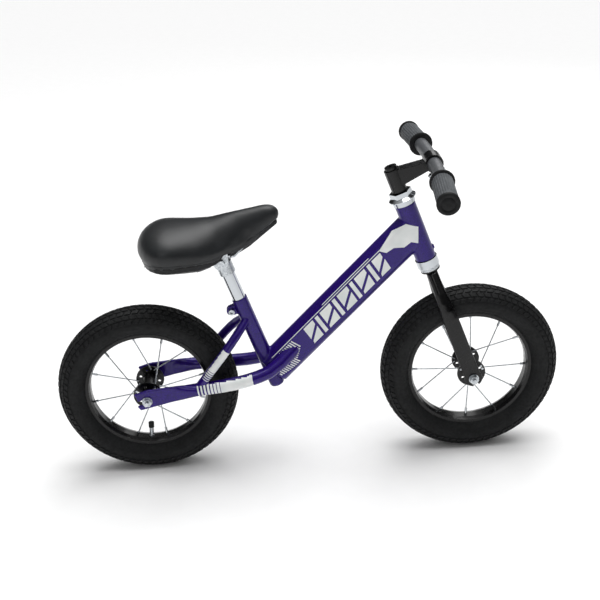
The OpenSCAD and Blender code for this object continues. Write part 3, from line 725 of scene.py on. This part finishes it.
def tyre_mesh(name):
    """Casing with ribbed sidewalls, and slanted tread blocks in staggered rows."""
    tyre = bpy.context.scene.bike_tyre
    section = []
    for step in range(61):
        across = -120 + 4 * step
        rib = RIB_HEIGHT if abs(across) in RIB_ANGLES else 0
        section.append(casing_point(across, -tyre.block_height - CASING_DROP + rib))
    bead = [(RIM_R + 2 * MM, 17 * MM), (RIM_R - 3 * MM, 12.2 * MM)]
    section = [(r, -y) for r, y in reversed(bead)] + section + bead
    points = [
        wheel_point(r, y, 2 * math.pi * k / CASING_STEPS) for k in range(CASING_STEPS) for r, y in section
    ]
    across_count = len(section)
    faces = []
    for k in range(CASING_STEPS):
        here, there = k * across_count, (k + 1) % CASING_STEPS * across_count
        faces += [
            (here + i, here + (i + 1) % across_count, there + (i + 1) % across_count, there + i)
            for i in range(across_count)
        ]
    mesh = mesh_of(name, points, faces)
    shape = bmesh.new()
    shape.from_mesh(mesh)
    pitch = 2 * math.pi / tyre.blocks
    for row, middle in enumerate(TREAD_ROWS):
        shoulder = abs(middle) > 60
        lean = 0.14 * pitch * (1 if row % 2 else -1)
        for block in range(tyre.blocks):
            turn = (block + 0.5 * (row % 2)) * pitch
            tread_block(shape, middle, turn, pitch * (0.4 if shoulder else 0.43), lean, tyre.block_height)
    shape.to_mesh(mesh)
    shape.free()
    return mesh


def tread_block(shape, middle, turn, half_turn, lean, height):
    """One block with sloping sides, standing on the casing."""
    corners = ((-1, -1), (1, -1), (1, 1), (-1, 1))
    loops = []
    for lift, shrink in ((-0.6 * MM, 1.0), (height * 0.8, 0.86), (height, 0.72)):
        loop = []
        for across, along in corners:
            radius, side = casing_point(middle + across * TREAD_ARC / 2 * shrink, lift - height)
            loop.append(shape.verts.new(wheel_point(
                radius, side, turn + along * half_turn * shrink + across * lean
            )))
        loops.append(loop)
    for low, high in zip(loops, loops[1:]):
        for k in range(4):
            shape.faces.new((low[k], low[(k + 1) % 4], high[(k + 1) % 4], high[k]))
    shape.faces.new(loops[-1])


class BIKE_OT_tyres(bpy.types.Operator):
    """Mould both tyres with their tread"""

    bl_idname = "bike.tyres"
    bl_label = "Tyres"

    def execute(self, context):
        for end, axle in (("front", FRONT), ("rear", REAR)):
            mesh = tyre_mesh(f"{end}_tyre_tread")
            mesh.transform(Matrix.Translation(axle))
            piece = add_piece(f"{end}_tyre_tread", mesh, "tyre", f"{end}_wheel")
            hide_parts(f"{end}_tyre")
        return {"FINISHED"}


# ---- fork and bars ----

BAR_MIDDLE = steer_point(371 * MM, 65 * MM)
BAR_BEND = 58 * MM
BAR_SWEEP = math.radians(4.8)
GRIP_LEN = 92
TUBE_R = 11.1
SLEEVE_R = 16.5
FLANGE_R = SLEEVE_R + 3
CAP_R = SLEEVE_R + 1
BAR_REACH = (186 * MM - BAR_BEND) / math.cos(BAR_SWEEP)
TUBE_END = BAR_REACH - 6 * MM

# Turned grips in mm: place from the inner end, radius, and share of the flutes' depth.
GRIP_SLEEVE = (
    (3.5, TUBE_R, 0), (3.6, SLEEVE_R - 1.4, 0), (6, SLEEVE_R - 1.2, 0), (7.5, SLEEVE_R, 1), (40, SLEEVE_R, 1),
    (GRIP_LEN - 12, SLEEVE_R, 1), (GRIP_LEN - 10, SLEEVE_R - 1.2, 0), (GRIP_LEN - 4, SLEEVE_R - 1.2, 0),
    (GRIP_LEN - 4, TUBE_R, 0),
)
GRIP_FLANGE = (
    (0, TUBE_R, 0), (0, TUBE_R + 3, 0), (0.4, FLANGE_R - 1, 0), (1.4, FLANGE_R, 0), (3, FLANGE_R, 0),
    (4, FLANGE_R - 1, 0), (4.4, TUBE_R, 0),
)
GRIP_CAP = tuple((GRIP_LEN - short, radius, 0) for short, radius in (
    (6, TUBE_R), (6, CAP_R - 0.6), (5.2, CAP_R), (2, CAP_R), (0.6, CAP_R - 0.8), (0, CAP_R - 3),
    (0, CAP_R - 6), (0.8, CAP_R - 6.6), (0.8, CAP_R - 8), (0, CAP_R - 8.6), (0, 3),
))


def bar_point(along, hand):
    """Point along one half of the bar, in metres from its bend, on the left for hand 1."""
    way = Vector((0, hand * math.cos(BAR_SWEEP), 0)) - math.sin(BAR_SWEEP) * STEER_AHEAD
    return BAR_MIDDLE + Vector((0, hand * BAR_BEND, 0)) + along * way


def ring_about(place, way, radii, start):
    """Loop of points about a place, square to a direction, with a radius for each."""
    first = start.cross(way).normalized()
    second = way.cross(first).normalized()
    turns = [2 * math.pi * k / len(radii) for k in range(len(radii))]
    return [place + r * (math.cos(t) * first + math.sin(t) * second) for r, t in zip(radii, turns)]


def lofted(name, loops):
    """Skin over loops of the same number of points, closed flat at both ends."""
    around = len(loops[0])
    points = [point for loop in loops for point in loop]
    faces = loops_to_faces(len(loops), around)
    faces += [tuple(range(around)), tuple(range(len(points) - around, len(points)))]
    return mesh_of(name, points, faces)


def bar_mesh(radius):
    """Tube that runs straight through the clamp and bends gently to the grips."""
    right_end, left_end = bar_point(TUBE_END, -1), bar_point(TUBE_END, 1)
    line = smooth_line([right_end, bar_point(0, -1), bar_point(0, 1), left_end], 1)
    line = [right_end, *smooth_line(line[1:-1], 4), left_end]
    loops = []
    for i, place in enumerate(line):
        way = (line[min(i + 1, len(line) - 1)] - line[max(i - 1, 0)]).normalized()
        loops.append(ring_about(place, way, [radius] * 40, STEER_UP))
    return lofted("handlebar_tube", loops)


def sleeve_mesh(name, hand, profile, flutes, depth):
    """Turned sleeve on one end of the bar, from a profile in millimetres."""
    around = max(48, flutes * 8)
    way = bar_point(1, hand) - bar_point(0, hand)
    loops = []
    for along, radius, share in profile:
        radii = [
            radius * MM - share * depth * max(0.0, math.cos(2 * math.pi * k * flutes / around))
            for k in range(around)
        ]
        place = bar_point(BAR_REACH + (along - GRIP_LEN) * MM, hand)
        loops.append(ring_about(place, way, radii, STEER_UP))
    return lofted(name, loops)


class BIKE_OT_bars(bpy.types.Operator):
    """Bend the handlebar and mould its grips"""

    bl_idname = "bike.bars"
    bl_label = "Handlebar and grips"

    def execute(self, context):
        bar = add_piece("handlebar_tube", bar_mesh(TUBE_R * MM), "grey_paint", "bars")
        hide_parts("handlebar")
        grip = context.scene.bike_grip
        for hand, side in ((-1, "right"), (1, "left")):
            for part, profile, flutes, finish in (
                ("sleeve", GRIP_SLEEVE, grip.flutes, "grip_rubber"),
                # the flange and end cap take the grip rubber painted near black, as painted shade
                ("flange", GRIP_FLANGE, 0, "painted_shade_rubber"),
                ("cap", GRIP_CAP, 0, "painted_shade_rubber"),
            ):
                name = f"grip_{part}_{side}"
                mesh = sleeve_mesh(name, hand, profile, flutes, grip.flute_depth)
                piece = add_piece(name, mesh, finish, "bars")
                if part == "sleeve":
                    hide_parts(f"grip_{side}")
        return {"FINISHED"}


BLADE_CELL = 0.9 * MM
BLADE_PASSES = 8


class BIKE_OT_fork(bpy.types.Operator):
    """Smooth the fork blades under black enamel"""

    bl_idname = "bike.fork"
    bl_label = "Fork blades"

    def execute(self, context):
        for side in ("left", "right"):
            welded_piece(
                f"fork_blade_skin_{side}", (f"fork_blade_{side}",), BLADE_CELL, BLADE_PASSES,
                "black_paint", "fork",
            )
        return {"FINISHED"}


# ---- saddle ----

PAD_CELL = 4 * MM
COVER_PRESSURE = 4
CLOTH_STEPS = 20


def padded_form(name):
    """The cushion's solid drawn in a little, remeshed for cloth."""
    saddle = bpy.context.scene.bike_saddle
    pad = add_piece(name, joined_mesh(name, ["saddle_cushion"]), "saddle_cover", "saddle")
    skin = pad.modifiers.new("skin", "REMESH")
    skin.mode = "VOXEL"
    skin.voxel_size = PAD_CELL
    skin.use_smooth_shade = True
    even = pad.modifiers.new("even", "SMOOTH")
    even.factor = 0.5
    even.iterations = 10
    inner = pad.modifiers.new("inner", "DISPLACE")
    inner.strength = -saddle.inset
    inner.mid_level = 0
    apply_modifiers(pad)
    return pad


def swell_by_cloth(pad, limit):
    """Blows the cover out by cloth pressure, and lets no point move further than the limit."""
    start = [v.co.copy() for v in pad.data.vertices]
    cloth = pad.modifiers.new("cover", "CLOTH")
    cloth.settings.use_pressure = True
    cloth.settings.uniform_pressure_force = COVER_PRESSURE
    cloth.settings.effector_weights.gravity = 0
    for step in range(1, CLOTH_STEPS + 1):
        bpy.context.scene.frame_set(step)
    apply_modifiers(pad)
    bpy.context.scene.frame_set(1)
    for vert, old in zip(pad.data.vertices, start):
        move = vert.co - old
        if move.length > limit:
            vert.co = old + move.normalized() * limit
    for face in pad.data.polygons:
        face.use_smooth = True


class BIKE_OT_saddle(bpy.types.Operator):
    """Pad the saddle and stretch its vinyl cover"""

    bl_idname = "bike.saddle"
    bl_label = "Saddle"

    def execute(self, context):
        pad = padded_form("saddle_pad")
        swell_by_cloth(pad, context.scene.bike_saddle.swell)
        finer = pad.modifiers.new("finer", "SUBSURF")
        finer.levels = finer.render_levels = 1
        even = pad.modifiers.new("even", "SMOOTH")
        even.factor = 0.5
        even.iterations = 6
        apply_modifiers(pad)
        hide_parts("saddle_cushion")
        return {"FINISHED"}


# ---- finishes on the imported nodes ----

BROKEN_EDGES = (           # node, and width of its broken edges in mm
    ("stem", 1.2), ("stem_bolt", 0.5), ("bar_clamp_bolt", 0.3), ("headset_locknut", 0.5),
    ("adjusting_race", 0.5), ("upper_cup", 0.5), ("lower_cup", 0.5), ("crown_race", 0.3),
    ("front_axle_nuts", 0.4), ("rear_axle_nuts", 0.4), ("front_axle_washers", 0.2),
    ("rear_axle_washers", 0.2), ("seat_clamp_bolt", 0.3), ("saddle_bolt", 0.3), ("post_clamp", 0.8),
    ("seat_post", 0.5), ("front_hub_shell", 0.3), ("rear_hub_shell", 0.3),
)
EDGE_ANGLE = math.radians(35)


class BIKE_OT_hardware(bpy.types.Operator):
    """Finish the hubs, rims, spokes, headset, stem and fasteners and break their edges"""

    bl_idname = "bike.hardware"
    bl_label = "Hardware finishes"

    def execute(self, context):
        for part in frame["record"]["subparts"]:
            name = part["node"]
            finish = "bearing_steel" if name.endswith("_balls") else part["material_slot"]
            node = frame["nodes"][name]
            node.data.materials.clear()
            node.data.materials.append(finish_for(finish))
        for name, width in BROKEN_EDGES:
            edge = frame["nodes"][name].modifiers.new("broken_edge", "BEVEL")
            edge.width = width * MM
            edge.segments = 2
            edge.limit_method = "ANGLE"
            edge.angle_limit = EDGE_ANGLE
            edge.harden_normals = True
        return {"FINISHED"}


# ---- stage ----

FLOOR_REACH = 14.0
BIKE_MIDDLE = (0.0, 0.0, 0.28)
CAMERA_PLACE = (-0.0771, -1.5811, 1.0497)
CAMERA_TURN = math.radians(-2.413)      # about the upright, away from the bike's right side
CAMERA_DOWN = math.radians(25.429)
CAMERA_ROLL = math.radians(-2.625)


def soft_light(name, place, width, power, aim):
    """Rectangular soft light that faces a point."""
    data = bpy.data.lights.new(name, "AREA")
    data.shape = "SQUARE"
    data.size = width
    data.energy = power
    light = bpy.data.objects.new(name, data)
    bpy.context.scene.collection.objects.link(light)
    light.location = place
    light.rotation_euler = (Vector(aim) - Vector(place)).to_track_quat("-Z", "Y").to_euler()


class BIKE_OT_stage(bpy.types.Operator):
    """Lay the pale floor, hang the soft lights and place the camera"""

    bl_idname = "bike.stage"
    bl_label = "Floor, lights and camera"

    def execute(self, context):
        corners = [Vector((x, y, 0)) * FLOOR_REACH for x, y in ((-1, -1), (1, -1), (1, 1), (-1, 1))]
        floor_mesh = mesh_of("studio_floor", corners, [(0, 1, 2, 3)], smooth=False)
        floor = bpy.data.objects.new("studio_floor", floor_mesh)
        floor_mesh.materials.append(finish_for("paper"))
        context.scene.collection.objects.link(floor)

        world = bpy.data.worlds.new("white_studio")
        world.use_nodes = True
        sky = world.node_tree.nodes["Background"]
        place = add_node(world, "ShaderNodeTexCoord")
        height = add_node(world, "ShaderNodeSeparateXYZ", links={"Vector": place.outputs["Generated"]})
        fade = add_node(world, "ShaderNodeValToRGB", links={"Fac": height.outputs["Z"]})
        # dim round the horizon and bright overhead, so that gloss sides stay deep
        for stop, level, grey in zip(fade.color_ramp.elements, (0.35, 0.95), (0.04, 0.9)):
            stop.position = level
            stop.color = (grey, grey, grey, 1)
        world.node_tree.links.new(fade.outputs["Color"], sky.inputs["Color"])
        sky.inputs["Strength"].default_value = 0.7
        context.scene.world = world

        sun = bpy.data.lights.new("even_overhead", "SUN")
        sun.energy = 2.2
        sun.angle = math.radians(60)
        overhead = bpy.data.objects.new("even_overhead", sun)
        overhead.rotation_euler = (math.radians(-8), math.radians(6), 0)
        context.scene.collection.objects.link(overhead)
        soft_light("overhead_soft", (0.1, 0.1, 1.9), 0.8, 6, BIKE_MIDDLE)
        soft_light("front_soft", (-1.2, -2.2, 1.6), 1.0, 5, BIKE_MIDDLE)
        soft_light("back_soft", (0.9, 2.0, 1.6), 1.2, 8, BIKE_MIDDLE)

        lens = bpy.data.cameras.new("camera")
        lens.sensor_width = 36
        lens.lens = context.scene.bike_stage.lens
        camera = bpy.data.objects.new("camera", lens)
        context.scene.collection.objects.link(camera)
        level = Vector((math.cos(CAMERA_TURN), math.sin(CAMERA_TURN), 0))
        forward = Vector((-level.y, level.x, 0))
        ahead = math.cos(CAMERA_DOWN) * forward - Vector((0, 0, math.sin(CAMERA_DOWN)))
        upright = level.cross(ahead)
        right = math.cos(CAMERA_ROLL) * level + math.sin(CAMERA_ROLL) * upright
        above = -math.sin(CAMERA_ROLL) * level + math.cos(CAMERA_ROLL) * upright
        turned = Matrix((right, above, -ahead)).transposed().to_4x4()
        camera.matrix_world = Matrix.Translation(CAMERA_PLACE) @ turned
        context.scene.camera = camera
        context.scene.view_settings.view_transform = "Standard"
        return {"FINISHED"}


# ---- panel and registration ----


class BIKE_PT_panel(bpy.types.Panel):
    """Balance bike pieces and their settings"""

    bl_idname = "BIKE_PT_panel"
    bl_label = "Balance bike"
    bl_space_type = "VIEW_3D"
    bl_region_type = "UI"
    bl_category = "Balance bike"

    def draw(self, context):
        for label, setting, operators in SECTIONS:
            box = self.layout.box()
            box.label(text=label)
            settings = getattr(context.scene, setting)
            for name in settings.bl_rna.properties.keys():
                if name not in ("rna_type", "name"):
                    box.prop(settings, name)
            for operator in operators:
                box.operator(operator.bl_idname)


SECTIONS = (
    ("Paint", "bike_paint", (BIKE_OT_frame, BIKE_OT_fork, BIKE_OT_hardware)),
    ("Tyres", "bike_tyre", (BIKE_OT_tyres,)),
    ("Bars", "bike_grip", (BIKE_OT_bars,)),
    ("Saddle", "bike_saddle", (BIKE_OT_saddle,)),
    ("Stage", "bike_stage", (BIKE_OT_stage,)),
)
SETTINGS = {
    "bike_paint": BikePaintSettings,
    "bike_tyre": BikeTyreSettings,
    "bike_grip": BikeGripSettings,
    "bike_saddle": BikeSaddleSettings,
    "bike_stage": BikeStageSettings,
}
OPERATORS = tuple(operator for _, _, operators in SECTIONS for operator in operators)


def register():
    """Registers the settings, operators and panel."""
    for kind in (*SETTINGS.values(), *OPERATORS, BIKE_PT_panel):
        bpy.utils.register_class(kind)
    for name, kind in SETTINGS.items():
        setattr(bpy.types.Scene, name, PointerProperty(type=kind))


def unregister():
    """Takes away what register added."""
    for name in SETTINGS:
        delattr(bpy.types.Scene, name)
    for kind in reversed((*SETTINGS.values(), *OPERATORS, BIKE_PT_panel)):
        bpy.utils.unregister_class(kind)


def main():
    """Makes every piece in order."""
    register()
    bpy.ops.bike.stage()
    bpy.ops.bike.hardware()
    bpy.ops.bike.frame()
    bpy.ops.bike.fork()
    bpy.ops.bike.bars()
    bpy.ops.bike.tyres()
    bpy.ops.bike.saddle()


if __name__ == "__main__":
    main()
